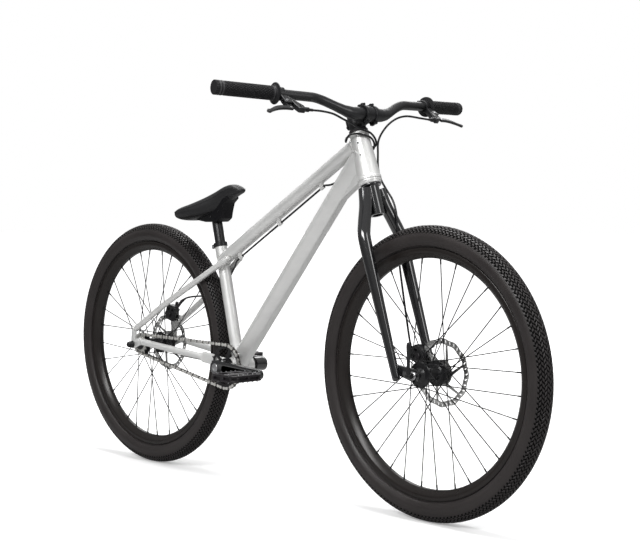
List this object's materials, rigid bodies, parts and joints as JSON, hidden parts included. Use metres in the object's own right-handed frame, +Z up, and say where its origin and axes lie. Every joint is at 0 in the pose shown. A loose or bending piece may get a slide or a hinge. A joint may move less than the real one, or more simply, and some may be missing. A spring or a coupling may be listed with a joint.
{
  "type": "dirt jump bicycle",
  "caption": "Small-framed jump bicycle with a sloping bare metal frame, rigid black fork, wide low-rise bar, single-speed chain drive, platform pedals and disc brakes.",
  "frame": {"origin": "on the ground in the mid-plane, midway between the two wheel axles", "axes": "+X forward, +Y to the rider's left, +Z up"},
  "size_m": [1.719, 0.8146, 0.991],
  "materials": {
    "clear_coated_frame": "brushed under a clear coat",
    "bare_steel": "bare, lightly polished",
    "gloss_black_paint": "gloss",
    "satin_black": "satin",
    "rim_black": "satin",
    "tyre_rubber": "matt, knobbed",
    "grip_rubber": "matt, ribbed",
    "black_plastic": "matt",
    "saddle_cover": "matt cover over padding"
  },
  "bodies": {
    "frame": {"head_tube": "clear_coated_frame", "top_tube": "clear_coated_frame", "down_tube": "clear_coated_frame", "seat_tube": "clear_coated_frame", "bb_shell": "clear_coated_frame", "chainstay_right": "clear_coated_frame", "chainstay_left": "clear_coated_frame", "seatstay_right": "clear_coated_frame", "seatstay_left": "clear_coated_frame", "seat_clamp": "satin_black", "headset_upper_cup": "gloss_black_paint", "headset_lower_cup": "gloss_black_paint", "bb_cup_right": "satin_black", "bb_cup_left": "satin_black", "rear_axle": "satin_black", "rear_caliper": "satin_black", "chain": "bare_steel", "rear_brake_cable": "black_plastic"},
    "steering": {"fork_steerer": "gloss_black_paint", "fork_leg_right": "gloss_black_paint", "fork_leg_left": "gloss_black_paint", "stem": "satin_black", "stem_faceplate": "satin_black", "top_cap": "satin_black", "handlebar": "satin_black", "grip_right": "grip_rubber", "grip_left": "grip_rubber", "lever_perch_right": "satin_black", "lever_perch_left": "satin_black", "front_caliper": "satin_black", "front_brake_cable": "black_plastic", "front_skewer": "bare_steel"},
    "front_wheel": {"front_tyre": "tyre_rubber", "front_rim": "rim_black", "front_hub": "satin_black", "front_spokes_right": "satin_black", "front_spokes_left": "satin_black", "front_rotor": "bare_steel"},
    "rear_wheel": {"rear_tyre": "tyre_rubber", "rear_rim": "rim_black", "rear_hub": "satin_black", "rear_spokes_right": "satin_black", "rear_spokes_left": "satin_black", "rear_rotor": "bare_steel"},
    "freewheel": {"rear_cog": "bare_steel"},
    "crank": {"chainring": "satin_black", "crank_arm_right": "satin_black", "crank_arm_left": "satin_black", "bb_spindle": "bare_steel", "pedal_axle_right": "bare_steel", "pedal_axle_left": "bare_steel"},
    "pedal_platform_right": {"pedal_right": "black_plastic"},
    "pedal_platform_left": {"pedal_left": "black_plastic"},
    "lever_right": {"brake_lever_right": "satin_black"},
    "lever_left": {"brake_lever_left": "satin_black"},
    "rear_brake_arm": {"rear_caliper_arm": "satin_black"},
    "front_brake_arm": {"front_caliper_arm": "satin_black"},
    "quick_lever": {"quick_release_lever": "satin_black"},
    "post": {"seatpost": "satin_black"},
    "seat": {"saddle": "saddle_cover"}
  },
  "joints": [
    {"name": "steer", "type": "hinge", "parent": "frame", "child": "steering", "pos_m": [0.47769, 0, 0.3216], "axis": [-0.3123, 0, 0.95], "range_deg": [-45, 45], "deforming": ["rear_brake_cable"]},
    {"name": "front_wheel_spin", "type": "hinge", "parent": "steering", "child": "front_wheel", "pos_m": [0.523, 0, 0.3365], "axis": [0, 1, 0], "continuous": true},
    {"name": "rear_wheel_spin", "type": "hinge", "parent": "frame", "child": "rear_wheel", "pos_m": [-0.523, 0, 0.3365], "axis": [0, 1, 0], "continuous": true},
    {"name": "crank_spin", "type": "hinge", "parent": "frame", "child": "crank", "pos_m": [-0.14899, 0, 0.302], "axis": [0, 1, 0], "continuous": true},
    {"name": "freewheel_spin", "type": "hinge", "parent": "frame", "child": "freewheel", "pos_m": [-0.523, 0, 0.3365], "axis": [0, 1, 0], "continuous": true},
    {"name": "pedal_right_spin", "type": "hinge", "parent": "crank", "child": "pedal_platform_right", "pos_m": [0.01594, -0.146, 0.29711], "axis": [0, 1, 0], "continuous": true},
    {"name": "pedal_left_spin", "type": "hinge", "parent": "crank", "child": "pedal_platform_left", "pos_m": [-0.31391, 0.146, 0.30689], "axis": [0, 1, 0], "continuous": true},
    {"name": "brake_lever_right_pull", "type": "hinge", "parent": "steering", "child": "lever_right", "pos_m": [0.30809, -0.24538, 0.94479], "axis": [-0.5661, 0.0784, -0.8206], "range_deg": [0, 22], "stiffness_Nm_per_rad": 0.18, "springref_deg": -17.19},
    {"name": "brake_lever_left_pull", "type": "hinge", "parent": "steering", "child": "lever_left", "pos_m": [0.30809, 0.24538, 0.94479], "axis": [0.5661, 0.0784, 0.8206], "range_deg": [0, 22], "stiffness_Nm_per_rad": 0.18, "springref_deg": -17.19},
    {"name": "rear_brake_arm_pull", "type": "hinge", "parent": "frame", "child": "rear_brake_arm", "pos_m": [-0.502, 0.0602, 0.428], "axis": [0, 1, 0], "range_deg": [0, 18]},
    {"name": "front_brake_arm_pull", "type": "hinge", "parent": "steering", "child": "front_brake_arm", "pos_m": [0.4352, 0.0515, 0.36342], "axis": [0, 1, 0], "range_deg": [0, 18]},
    {"name": "quick_release_swing", "type": "hinge", "parent": "steering", "child": "quick_lever", "pos_m": [0.523, -0.0706, 0.3365], "axis": [1, 0, 0], "range_deg": [0, 170]},
    {"name": "seatpost_slide", "type": "slide", "parent": "frame", "child": "post", "axis": [-0.2368, 0, 0.9715], "range_m": [-0.01, 0.06]},
    {"name": "saddle_tilt", "type": "hinge", "parent": "post", "child": "seat", "pos_m": [-0.2442, 0, 0.69256], "axis": [0, 1, 0], "range_deg": [-6, 6]}
  ],
  "couplings": [
    {"joint": "freewheel_spin", "follows": "crank_spin", "ratio": 2.1538},
    {"joint": "rear_brake_arm_pull", "follows": "brake_lever_right_pull", "ratio": 0.8},
    {"joint": "front_brake_arm_pull", "follows": "brake_lever_left_pull", "ratio": 0.8}
  ]
}
